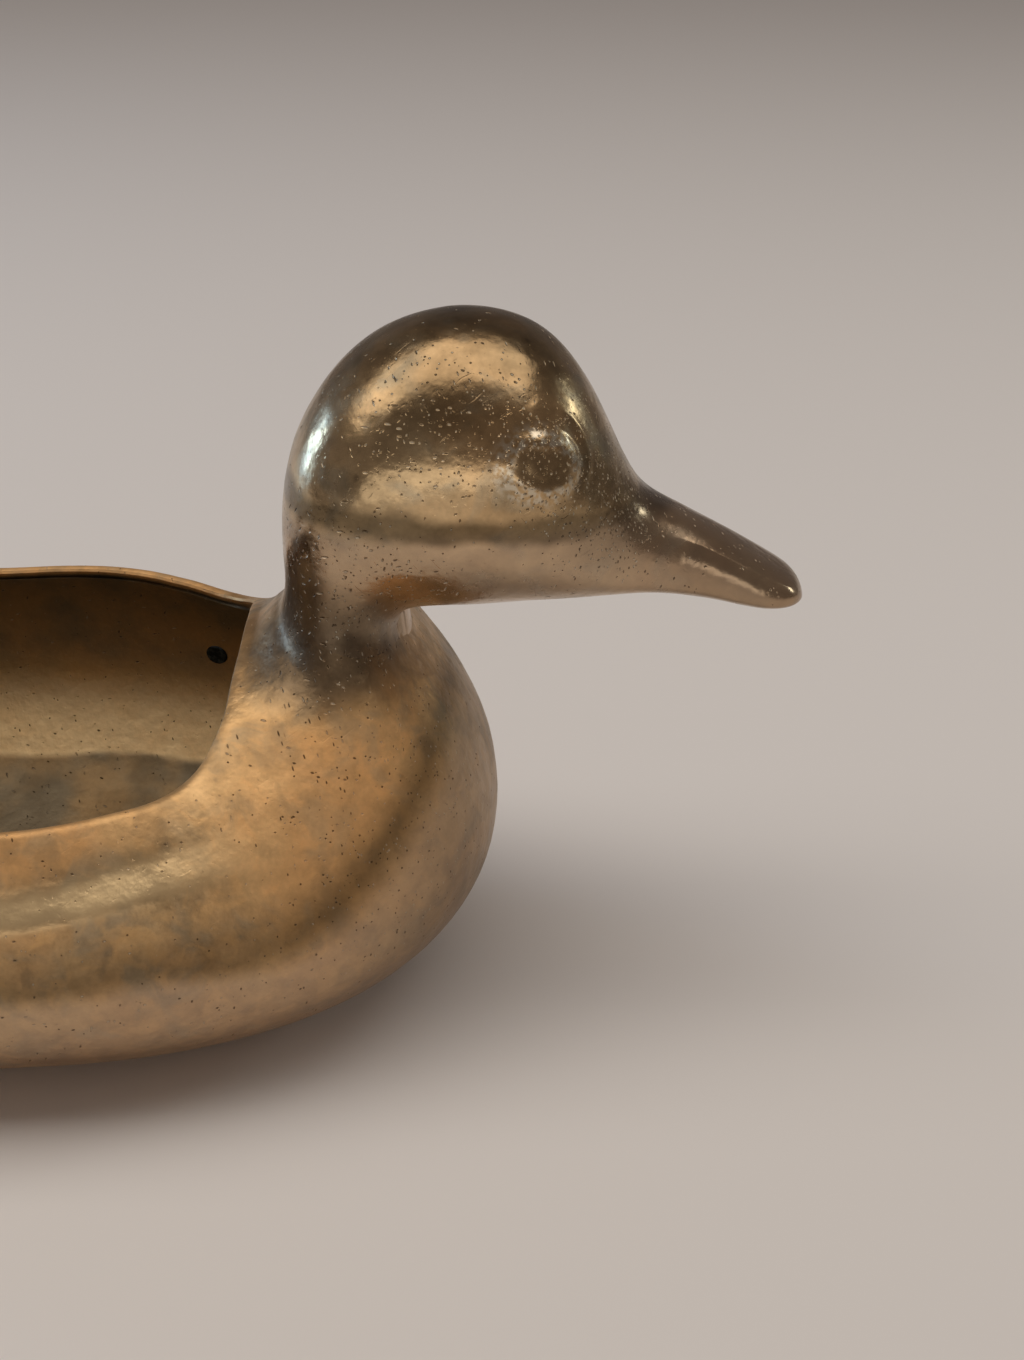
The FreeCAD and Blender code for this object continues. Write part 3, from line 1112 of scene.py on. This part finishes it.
class Graph:
    """A material's nodes, written as sums and calls."""

    def __init__(self, name: str) -> None:
        """Start an empty material.

        Args:
            name: The material's name.
        """
        self.material = bpy.data.materials.new(name)
        self.material.use_nodes = True
        self.tree = self.material.node_tree
        self.tree.nodes.clear()
        self.places = self.node("ShaderNodeTexCoord", {}, {}, "Object")

    def node(
        self,
        kind: str,
        settings: dict[str, object],
        values: dict[int | str, object],
        output: int | str = 0,
    ) -> Wire:
        """Add a node.

        Args:
            kind: The node's type.
            settings: Its settings, which are set before its sockets.
            values: The values or wires of its sockets, by name or number.
            output: The output that is wanted.

        Returns:
            That output.
        """
        new = self.tree.nodes.new(kind)
        for name, value in settings.items():
            setattr(new, name, value)
        for key, value in values.items():
            if isinstance(value, Wire):
                self.tree.links.new(value.socket, new.inputs[key])
            else:
                new.inputs[key].default_value = value
        return Wire(self, new.outputs[output])

    def moved(self, turn: Triple, stretch: Triple) -> Wire:
        """Turn and stretch the object's places, for a pattern with a direction.

        Args:
            turn: The turns about X, Y and Z, in degrees.
            stretch: How far the pattern is drawn out along each axis.

        Returns:
            The new places.
        """
        settings = {"vector_type": "TEXTURE"}
        degrees = tuple(math.radians(angle) for angle in turn)
        return self.node("ShaderNodeMapping", settings, {0: self.places, 2: degrees, 3: stretch})

    def noise(self, size: float, detail: float = 3, places: Wire | None = None, warp: float = 0) -> Wire:
        """Add a cloudy value from 0 to 1.

        Args:
            size: The size of its clouds, in metres.
            detail: How many finer layers it has.
            places: Where it is read, or None for the object's own places.
            warp: How much it is twisted.

        Returns:
            The value.
        """
        values = {"Vector": places or self.places, "Scale": 1 / size, "Detail": detail, "Distortion": warp}
        return self.node("ShaderNodeTexNoise", {}, values)

    def cells(self, size: float, output: str, places: Wire) -> Wire:
        """Return a value of scattered points: the distance to the nearest, or its colour."""
        values = {"Vector": places, "Scale": 1 / size}
        return self.node("ShaderNodeTexVoronoi", {"feature": "F1"}, values, output)

    def mask(self, value: Wire, low: float, high: float) -> Wire:
        """Return 0 where a value is at low, 1 where it is at high, and a smooth step between."""
        settings = {"interpolation_type": "SMOOTHSTEP", "clamp": True}
        return self.node("ShaderNodeMapRange", settings, {"Value": value, "From Min": low, "From Max": high})

    def mix(self, first: Wire | Colour, second: Wire | Colour, share: Wire) -> Wire:
        """Return a colour between two."""
        settings = {"data_type": "RGBA", "blend_type": "MIX"}
        return self.node("ShaderNodeMix", settings, {0: share, 6: first, 7: second}, 2)

    def mix_number(self, first: Wire, second: Wire, share: Wire) -> Wire:
        """Return a number between two."""
        return self.node("ShaderNodeMix", {"data_type": "FLOAT"}, {0: share, 2: first, 3: second})

    def tinted(self, colour: Wire, value: Wire) -> Wire:
        """Return a colour made darker or lighter by a number."""
        return self.node("ShaderNodeVectorMath", {"operation": "SCALE"}, {0: colour, "Scale": value})

    def coordinate(self, axis: str) -> Wire:
        """Return one coordinate of the object's places."""
        return self.node("ShaderNodeSeparateXYZ", {}, {0: self.places}, axis)

    def near(self, spot: Spot, origin: Triple | Vector = (0, 0, 0)) -> Wire:
        """Find how near a place is to a spot on either side of the duck.

        Args:
            spot: The spot.
            origin: What the spot's place is measured from.

        Returns:
            The spot's share in its core, and 0 beyond its reach.
        """
        beside = {0: self.coordinate("X"), 1: abs(self.coordinate("Y")), 2: self.coordinate("Z")}
        folded = self.node("ShaderNodeCombineXYZ", {}, beside)
        place = Vector(origin) + Vector((spot.x, spot.y, spot.z)) * MM
        values = {0: folded, 1: (place.x, abs(place.y), place.z)}
        distance = self.node("ShaderNodeVectorMath", {"operation": "DISTANCE"}, values, "Value")
        inside = self.mask(distance, spot.reach * MM, spot.core * MM)
        return inside if spot.share == 1 else inside * spot.share

    def attribute(self, name: str) -> Wire:
        """Return a value that the mesh carries."""
        return self.node("ShaderNodeAttribute", {"attribute_name": name}, {}, "Fac")

    def metal(self, colour: Wire, roughness: Wire, height: Wire) -> bpy.types.Material:
        """Finish the material as a metal.

        Args:
            colour: Its colour.
            roughness: Its roughness.
            height: Its fine relief, in metres.

        Returns:
            The material.
        """
        normal = self.node("ShaderNodeBump", {}, {"Strength": 1.0, "Distance": 1.0, "Height": height})
        values = {"Base Color": colour, "Metallic": 1.0, "Roughness": roughness, "Normal": normal}
        shader = self.node("ShaderNodeBsdfPrincipled", {}, values)
        output = self.tree.nodes.new("ShaderNodeOutputMaterial")
        self.tree.links.new(shader.socket, output.inputs["Surface"])
        return self.material


@dataclass(frozen=True)
class Brass:
    """Worn cast brass: a golden metal under patches of patina, with pits and scratches, and painted shade on the
    neck.

    The pits crowd by the eye, so every finish is given the left eye's place.
    """

    eye: Vector
    name: str = "polished_brass_worn"
    gold: Colour = (0.5, 0.36, 0.2, 1)
    copper: Colour = (0.45, 0.295, 0.15, 1)
    olive: Colour = (0.35, 0.285, 0.19, 1)
    grime_and_shade: Colour = (0.08, 0.055, 0.035, 1)
    residue_and_glint: Colour = (0.66, 0.6, 0.48, 1)
    # Also the colour of the painted highlights on the body's shoulder and lining
    bright: Colour = (0.9, 0.67, 0.37, 1)
    orange: Colour = (0.8, 0.48, 0.2, 1)
    painted_floor_reflection: Colour = (0.5, 0.37, 0.27, 1)
    umber: Colour = (0.2, 0.145, 0.09, 1)
    roughness: float = 0.16
    satin: float = 0.18
    satin_from: float = 96 * MM
    satin_full: float = 68 * MM
    pit_depth: float = 0.13 * MM
    scratch_depth: float = 0.045 * MM
    dent_depth: float = 0.25 * MM
    # Where the neck under the jaw is painted dark: painted shade
    neck: Spot = Spot(57, 16, 78, 10, 20)
    # Where marks crowd, from the eye: the bill's root, over, at and behind the eye, neck and breast
    crowded: tuple[Spot, ...] = (
        Spot(11, -8, -8, 7, 20),
        Spot(-3, -1, 9, 2, 12, 0.8),
        Spot(3, 0, 0, 8, 13, 0.85),
        Spot(-18, 0, 7, 5, 18, 0.55),
        Spot(-36, 0, -25, 6, 26, 0.6),
        Spot(-14, 24, -56, 8, 44, 0.4),
    )
    # Each set of pits: how it is turned, in degrees, and its size, in millimetres
    pit_sets: tuple[tuple[Triple, float], ...] = (((35, 20, 0), 0.85), ((-55, 10, 30), 0.7), ((80, -25, 60), 1.0))
    scratch_turns: tuple[Triple, ...] = ((20, -35, 0), (-15, 60, 10))

    def make(self) -> bpy.types.Material:
        """Build the material.

        Returns:
            The material.
        """
        graph = Graph(self.name)
        broad = graph.noise(34 * MM, 3)
        blotches = graph.noise(9 * MM, 5, warp=0.6)
        grain = graph.noise(1.5 * MM, 3)
        mottle = graph.noise(3.4 * MM, 5) * 0.9 + graph.noise(0.8 * MM, 2) * 0.3
        crowd = self.crowd(graph)
        pits, dark_pits = self.dashes(graph, crowd)
        satin = graph.mask(graph.coordinate("Z") + broad * (10 * MM), self.satin_from, self.satin_full)
        roughness = graph.mask(blotches, 0.35, 0.7) * 0.1 + self.roughness + satin * self.satin
        roughness = roughness + grain * 0.06 + pits * 0.3
        colour = graph.tinted(self.patina(graph, broad, blotches), mottle + 0.42)
        colour = self.wear_and_painted_light(graph, colour)
        # The neck under the jaw is darkened: painted shade
        neck = graph.near(self.neck)
        painted_neck_shade = graph.mix(self.umber, self.grime_and_shade, graph.mask(blotches, 0.4, 0.7) * 0.5)
        colour = graph.mix(colour, graph.tinted(painted_neck_shade, mottle + 0.4), neck * 0.9)
        colour = graph.mix(colour, self.grime_and_shade, pits * dark_pits * 0.65)
        # Pale specks in the pits: partly residue, partly painted glints on their rims
        colour = graph.mix(colour, self.residue_and_glint, pits * (1 - dark_pits) * 0.55)
        roughness = roughness + self.dulled(graph)
        roughness = graph.mix_number(roughness, grain * 0.1 + 0.34 + pits * 0.2, neck)
        height = self.strokes(graph, crowd) * -self.scratch_depth + pits * -self.pit_depth
        height = height + self.worn_form(graph) + graph.noise(8 * MM, 2) * self.dent_depth
        height = height + graph.noise(3.2 * MM, 2) * (satin * 0.12 + 0.09) * MM + grain * (0.03 * MM)
        height = height + graph.noise(0.7 * MM, 1) * (satin * 0.012 + 0.006) * MM + grain * satin * (0.06 * MM)
        return graph.metal(colour, roughness, height)

    def patina(self, graph: Graph, broad: Wire, blotches: Wire) -> Wire:
        """Colour the metal under its worn places and its painted light and shade.

        Args:
            graph: The material's nodes.
            broad: The cloudy value that turns gold to copper.
            blotches: The cloudy value that turns it olive.

        Returns:
            The colour.
        """
        colour = graph.mix(self.gold, self.copper, graph.mask(broad, 0.4, 0.62))
        colour = graph.mix(colour, self.olive, graph.mask(blotches, 0.48, 0.68) * 0.7)
        return graph.mix(colour, self.grime_and_shade, graph.mask(graph.noise(5 * MM, 2), 0.74, 0.84) * 0.6)

    def wear_and_painted_light(self, graph: Graph, colour: Wire) -> Wire:
        """Darken the metal, rub it and paint light and shade on it where this casting shows them.

        Args:
            graph: The material's nodes.
            colour: The patina's colour.

        Returns:
            The colour with its worn places.
        """
        raise NotImplementedError

    def dulled(self, graph: Graph) -> Wire | float:
        """Return how much rougher this casting is in places."""
        return 0.0

    def worn_form(self, graph: Graph) -> Wire | float:
        """Return the broad relief that only this casting has, in metres."""
        return 0.0

    def crowd(self, graph: Graph) -> Wire:
        """Find how crowded the marks are.

        Args:
            graph: The material's nodes.

        Returns:
            A value that is 1 where they are most crowded.
        """
        most, *others = (graph.near(spot, self.eye) for spot in self.crowded)
        for other in others:
            most = most.math("MAXIMUM", other)
        return most

    def dashes(self, graph: Graph, crowd: Wire) -> tuple[Wire, Wire]:
        """Scatter short dash-like pits.

        Args:
            graph: The material's nodes.
            crowd: How crowded the marks are.

        Returns:
            Where the pits are, and which of them are dark.
        """
        pits, dark = None, None
        for turn, size in self.pit_sets:
            places = graph.moved(turn, (1, 1, 4))
            distance = graph.cells(size * MM, "Distance", places)
            random_colour = graph.cells(size * MM, "Color", places)
            chance = graph.node("ShaderNodeSeparateColor", {}, {0: random_colour}, "Red")
            shade_chance = graph.node("ShaderNodeSeparateColor", {}, {0: random_colour}, "Green")
            kept = graph.mask(chance - crowd * 0.6, 0.08, 0.05)
            dash = graph.mask(distance, 0.27, 0.12) * kept
            pits = dash if pits is None else pits.math("MAXIMUM", dash)
            is_dark = graph.mask(shade_chance, 0.4, 0.5)
            dark = is_dark if dark is None else graph.mix_number(dark, is_dark, dash)
        return pits, dark

    def strokes(self, graph: Graph, crowd: Wire) -> Wire:
        """Scatter short straight scratches.

        Args:
            graph: The material's nodes.
            crowd: How crowded the marks are.

        Returns:
            Where the scratches are.
        """
        total = None
        for turn in self.scratch_turns:
            stroke = graph.mask(graph.noise(0.7 * MM, 1, graph.moved(turn, (1, 1, 8))), 0.7, 0.78)
            total = stroke if total is None else total + stroke
        return total * (crowd * 0.6 + 0.4)


@dataclass(frozen=True)
class HeadBrass(Brass):
    """The head's brass: painted shade behind the eye, a painted dark reflection along the cheek's line, and
    darker at the bill's root.
    """

    painted_line_drop: float = 9.5 * MM
    tilt: float = 0.06
    jaw_from: float = 10 * MM
    jaw_full: float = 15 * MM
    crown_shade_from: float = 11 * MM
    crown_shade_full: float = 27 * MM
    # From the eye
    # A patch of painted shade behind the eye
    painted_shade_patch: Spot = Spot(-19, 0, 8, 4, 14, 0.3)
    painted_cheek_highlight: Spot = Spot(-16, 0, -4, 4, 15, 0.4)
    bill_root: Spot = Spot(13, -10, -7, 6, 19, 0.8)

    def wear_and_painted_light(self, graph: Graph, colour: Wire) -> Wire:
        """Darken the eyeballs, crust the lids pale with partly painted glints, paint the floor's reflection on
        the jaw and add the head's painted light and shade.

        Args:
            graph: The material's nodes.
            colour: The patina's colour.

        Returns:
            The head's colour.
        """
        colour = graph.mix(colour, self.grime_and_shade, graph.attribute("eye") * 0.3)
        # The pale crust on the lids is partly residue, partly a painted glint
        crust = graph.attribute("lid") * graph.mask(graph.noise(1.1 * MM, 2), 0.4, 0.6)
        colour = graph.mix(colour, self.residue_and_glint, crust * 0.7)
        # The jaw is painted grey: a painted reflection of the floor
        jaw = graph.mask(graph.coordinate("Z"), self.eye.z - self.jaw_from, self.eye.z - self.jaw_full)
        colour = graph.mix(colour, self.painted_floor_reflection, jaw * 0.55)
        return graph.tinted(colour, self.tone(graph))

    def tone(self, graph: Graph) -> Wire:
        """Work out the head's painted light and shade, and how much darker its bill is.

        Args:
            graph: The material's nodes.

        Returns:
            The tone, where 1 leaves the colour as it is.
        """
        level = graph.coordinate("Z") + graph.noise(11 * MM, 2) * (5 * MM) + graph.coordinate("X") * self.tilt
        painted_line_level = self.eye.z + self.tilt * self.eye.x - self.painted_line_drop
        # A painted dark reflection runs along the cheek's line
        line = graph.mask(abs(level - painted_line_level), 3.8 * MM, 1.0 * MM)
        streaks = graph.noise(7 * MM, 3, graph.moved((0, 12, 0), (3, 2, 1)))
        # Painted shade in streaks over the crown
        crown = graph.mask(level, self.eye.z + self.crown_shade_from, self.eye.z + self.crown_shade_full)
        crown = crown * (streaks * 2.2 - 0.1)
        bill = graph.mask(graph.coordinate("X"), self.eye.x + 16 * MM, self.eye.x + 32 * MM)
        # shade joins the painted dark line and the darker bill root
        shade = line.math("MAXIMUM", graph.near(self.bill_root, self.eye)) * 0.6
        tone = 1.05 - shade - crown * 0.5 - graph.near(self.painted_shade_patch, self.eye) - bill * 0.2
        # A painted highlight on the cheek, above the painted line
        tone = tone + graph.near(self.painted_cheek_highlight, self.eye) * (1 - line)
        return tone.math("MAXIMUM", 0.15)


@dataclass(frozen=True)
class BodyBrass(Brass):
    """The body's brass: a painted shoulder highlight over a dark band of painted reflection, a painted orange
    glow on the breast and a dull lining with painted shade and a painted highlight.
    """

    name: str = "cast_brass_worn"
    gold: Colour = (0.54, 0.36, 0.18, 1)
    copper: Colour = (0.49, 0.3, 0.14, 1)
    olive: Colour = (0.34, 0.27, 0.175, 1)
    grime_and_shade: Colour = (0.09, 0.06, 0.035, 1)
    residue_and_glint: Colour = (0.66, 0.58, 0.45, 1)
    # Where the painted glow on the breast lies
    breast: Spot = Spot(60, 42, 58, 13, 36)
    # The dark band of painted reflection: its lower edge, and where and how fast it climbs the breast
    painted_band_level: float = 33 * MM
    painted_band_height: float = 13 * MM
    climb_from: float = 45 * MM
    climb_rate: float = 25
    climb_spread: float = 60
    shoulder_height: float = 48 * MM
    shoulder_tilt: float = 0.08
    shoulder_fall: float = 2.6 * MM
    wall_fall: float = 4.5 * MM

    def lining(self, graph: Graph) -> Wire:
        """Return 1 on the lining and 0 on the outside."""
        return graph.mask(graph.attribute("inside"), 0.35, 0.9)

    def wear_and_painted_light(self, graph: Graph, colour: Wire) -> Wire:
        """Finish the outside and the lining.

        Args:
            graph: The material's nodes.
            colour: The patina's colour.

        Returns:
            The body's colour.
        """
        return graph.mix(self.flank(graph, colour), self.inner(graph), self.lining(graph))

    def dulled(self, graph: Graph) -> Wire:
        """Return how much rougher the lining and the orange breast are."""
        lining = self.lining(graph)
        return lining * 0.2 + self.painted_glow(graph) * (1 - lining) * 0.25

    def worn_form(self, graph: Graph) -> Wire:
        """Slope the shoulder's turn and the foot of the inner wall, which catch the light.

        Args:
            graph: The material's nodes.

        Returns:
            The relief, in metres.
        """
        lining = self.lining(graph)
        turn = graph.mask(self.shoulder_level(graph), -4 * MM, 4 * MM) * self.beside_bowl(graph)
        foot = graph.mask(graph.coordinate("Z"), 16 * MM, 34 * MM)
        return turn * (1 - lining) * -self.shoulder_fall + foot * -self.wall_fall * lining

    def flank(self, graph: Graph, colour: Wire) -> Wire:
        """Paint a highlight along the shoulder, over a dark band of painted reflection that climbs the breast.

        Args:
            graph: The material's nodes.
            colour: The patina's colour.

        Returns:
            The outside's colour.
        """
        wander = (graph.noise(26 * MM, 3) - 0.5) * (6 * MM)
        climb = (graph.coordinate("X") - self.climb_from).math("MAXIMUM", 0.0)
        above_band = graph.coordinate("Z") + wander - self.painted_band_level - climb * climb * self.climb_rate
        below_band = above_band.math("DIVIDE", climb * self.climb_spread + 1)
        # brown is the dark band of painted reflection
        brown = graph.mask(above_band, self.painted_band_height, 1 * MM) * graph.mask(below_band, -3.5 * MM, 1 * MM)
        # A painted highlight along the shoulder's turn
        shoulder = graph.mask(abs(self.shoulder_level(graph)), 5 * MM, 1 * MM)
        painted_glow = self.painted_glow(graph)
        flecks = graph.mask(graph.noise(6 * MM, 5, warp=0.8), 0.5, 0.66)
        stains = graph.mask(graph.noise(8 * MM, 5, warp=0.5), 0.56, 0.7)
        colour = graph.mix(colour, self.orange, flecks * 0.35)
        colour = graph.mix(colour, self.umber, stains * 0.4)
        colour = graph.mix(colour, self.bright, shoulder * self.beside_bowl(graph) * 0.95)
        # A painted orange glow on the breast and the shoulder's top
        colour = graph.mix(colour, self.orange, painted_glow * 0.3)
        # Below the band, a painted pale reflection of the floor
        colour = graph.mix(colour, self.painted_floor_reflection, graph.mask(below_band, 0.5 * MM, -4 * MM) * 0.5)
        front = graph.mask(graph.coordinate("X"), 50 * MM, 80 * MM) * graph.mask(below_band, 1 * MM, -4 * MM)
        return graph.tinted(colour, 1 - brown * 0.5 - front * 0.25 + painted_glow * (1 - brown) * 0.25)

    def painted_glow(self, graph: Graph) -> Wire:
        """Find where the breast and the shoulder's top get a painted orange glow.

        Args:
            graph: The material's nodes.

        Returns:
            A value that is 1 there.
        """
        above = graph.mask(self.shoulder_level(graph), 3 * MM, 7 * MM) * self.beside_bowl(graph)
        return graph.near(self.breast).math("MAXIMUM", above * 0.9)

    def beside_bowl(self, graph: Graph) -> Wire:
        """Return 1 beside the bowl's opening, and 0 on the breast and the tail."""
        along = graph.coordinate("X")
        return graph.mask(along, 52 * MM, 18 * MM) * graph.mask(along, -115 * MM, -60 * MM)

    def shoulder_level(self, graph: Graph) -> Wire:
        """Return how far above the shoulder's turn a place is."""
        wander = (graph.noise(30 * MM, 1) - 0.5) * (2 * MM)
        return graph.coordinate("Z") + wander - self.shoulder_height - graph.coordinate("X") * self.shoulder_tilt

    def inner(self, graph: Graph) -> Wire:
        """Colour the lining: painted shade under the lip, a painted highlight low on the wall, brown on the
        floor.

        Args:
            graph: The material's nodes.

        Returns:
            The lining's colour.
        """
        level = graph.coordinate("Z") + graph.noise(24 * MM, 2) * (3 * MM)
        # pale is a painted highlight low on the wall, shaded is painted shade under the lip
        pale = graph.mask(level, 15.5 * MM, 17 * MM) * graph.mask(level, 44 * MM, 24 * MM)
        shaded = graph.mask(level, 34 * MM, 60 * MM)
        floor = graph.mask(level, 17 * MM, 15 * MM)
        colour = graph.mix(self.gold, self.olive, graph.mask(graph.noise(16 * MM, 4), 0.35, 0.65))
        colour = graph.mix(colour, self.bright, pale * 0.95)
        return graph.tinted(colour, (1 - shaded * 0.5 - floor * 0.4) * (graph.noise(1.2 * MM, 2) * 0.2 + 0.9))


@dataclass(frozen=True)
class PinSteel:
    """Dark steel, dull with heat oxide and old wax."""

    name: str = "dark_pin_steel"
    dark: Colour = (0.018, 0.024, 0.03, 1)
    pale: Colour = (0.07, 0.09, 0.105, 1)
    scale_depth: float = 0.08 * MM

    def make(self) -> bpy.types.Material:
        """Build the material.

        Returns:
            The material.
        """
        graph = Graph(self.name)
        rust = graph.noise(1.1 * MM, 4)
        colour = graph.mix(self.dark, self.pale, graph.mask(rust, 0.4, 0.65))
        return graph.metal(colour, rust * 0.3 + 0.35, rust * self.scale_depth)


@dataclass(frozen=True)
class FloorPaint:
    """A plain pale studio floor."""

    name: str = "pale_floor"
    colour: Colour = (0.82, 0.79, 0.77, 1)
    roughness: float = 0.9
    shine: float = 0.1

    def make(self) -> bpy.types.Material:
        """Build the material.

        Returns:
            The material.
        """
        material = bpy.data.materials.new(self.name)
        material.use_nodes = True
        shader = material.node_tree.nodes["Principled BSDF"]
        shader.inputs["Base Color"].default_value = self.colour
        shader.inputs["Roughness"].default_value = self.roughness
        shader.inputs["Specular IOR Level"].default_value = self.shine
        return material


@dataclass(frozen=True)
class Lamp:
    """A soft box: its place, what it points at, its size, how bright its face is, and its colour."""

    name: str
    place: Triple
    aim: Triple
    size: tuple[float, float]
    level: float
    colour: Triple

    def hang(self) -> None:
        """Hang the box."""
        light = bpy.data.lights.new(self.name, "AREA")
        light.shape = "RECTANGLE"
        light.size, light.size_y = self.size
        light.color = self.colour
        light.energy = self.level * math.pi * light.size * light.size_y
        holder = bpy.data.objects.new(self.name, light)
        holder.location = self.place
        direction = Vector(self.aim) - Vector(self.place)
        holder.rotation_euler = direction.to_track_quat("-Z", "Y").to_euler()
        bpy.context.scene.collection.objects.link(holder)


@dataclass
class Studio:
    """The floor, the lamps, the world and the camera."""

    floor_size: float = 8.0
    world_colour: Colour = (1, 0.86, 0.78, 1)
    world_level: float = 0.17
    target: Triple = (91.1 * MM, 0, 62 * MM)
    distance: float = 390 * MM
    pitch: float = 27.0
    focal_pixels: float = 2000
    picture_height: float = 1360
    sensor: float = 36.0
    # A wide box overhead, a strip in front, a small lamp behind on the right and a window on the left
    lamps: tuple[Lamp, ...] = (
        Lamp("top_box", (-0.3, -0.03, 1.25), (-0.3, -0.03, 0.25), (2.8, 0.85), 1.7, (1, 0.94, 0.87)),
        Lamp("front_strip", (-0.1, -1.9, 0.3), (0.05, 0, 0.08), (2.8, 0.5), 0.85, (1, 0.95, 0.89)),
        Lamp("bulb", (1.13, 0.5, 0.42), (0.05, 0, 0.08), (0.16, 0.2), 6, (0.9, 1, 0.97)),
        Lamp("window", (-1.0, 0.6, 0.22), (0.05, 0, 0.08), (0.25, 0.3), 8, (0.42, 0.66, 1)),
    )

    def build(self) -> None:
        """Build the whole studio."""
        self.lay_floor()
        for lamp in self.lamps:
            lamp.hang()
        self.paint_world()
        self.place_camera()
        bpy.context.scene.view_settings.view_transform = "Standard"

    def lay_floor(self) -> None:
        """Lay the floor."""
        bpy.ops.object.select_all(action="DESELECT")
        bpy.ops.mesh.primitive_plane_add(size=self.floor_size)
        floor = bpy.context.active_object
        floor.name = "floor"
        floor.data.materials.append(FloorPaint().make())

    def paint_world(self) -> None:
        """Give the room an even, dim tone."""
        world = bpy.data.worlds.new("room")
        world.use_nodes = True
        back = world.node_tree.nodes["Background"]
        back.inputs["Color"].default_value = self.world_colour
        back.inputs["Strength"].default_value = self.world_level
        bpy.context.scene.world = world

    def place_camera(self) -> None:
        """Place the camera as the photograph was taken."""
        data = bpy.data.cameras.new("camera")
        data.sensor_width = self.sensor
        data.lens = self.focal_pixels / self.picture_height * self.sensor
        camera = bpy.data.objects.new("camera", data)
        pitch = math.radians(self.pitch)
        back = Vector((0, -math.cos(pitch), math.sin(pitch)))
        camera.location = Vector(self.target) + back * self.distance
        camera.rotation_euler = (math.pi / 2 - pitch, 0, 0)
        bpy.context.scene.collection.objects.link(camera)
        bpy.context.scene.camera = camera


def main() -> None:
    """Build the duck and its studio."""
    logging.basicConfig(level=logging.INFO, format="%(message)s")
    Studio().build()
    shape = Skin()
    joint = NeckJoint(shape)
    cage = shape.cage()
    fine = shape.cast(cage, FINE_LEVELS, "fine_skin")
    outside = tree_of(fine)
    chart = Chart(fine, shape.points_around, 2**FINE_LEVELS)
    head_maker = Head(shape, joint)
    eye = head_maker.eye_seat(outside, Side.LEFT)[0]
    cast_brass = BodyBrass(eye).make()
    polished_brass = HeadBrass(eye).make()
    hand_over(Bowl(shape, joint).build(cage, chart), Slot.BODY, cast_brass, "body_casting")
    hand_over(head_maker.build(fine, outside), Slot.HEAD, polished_brass, "head_casting")
    hand_over(joint.build(fine), Slot.BRAZE, polished_brass, "neck_braze")
    steel = PinSteel().make()
    for side in Side:
        pin = CorePin(shape, side).build(outside)
        hand_over(pin, Slot.PIN, steel, f"core_pin_{side.name.lower()}")
    discard(cage)
    discard(fine)


if __name__ == "__main__":
    main()
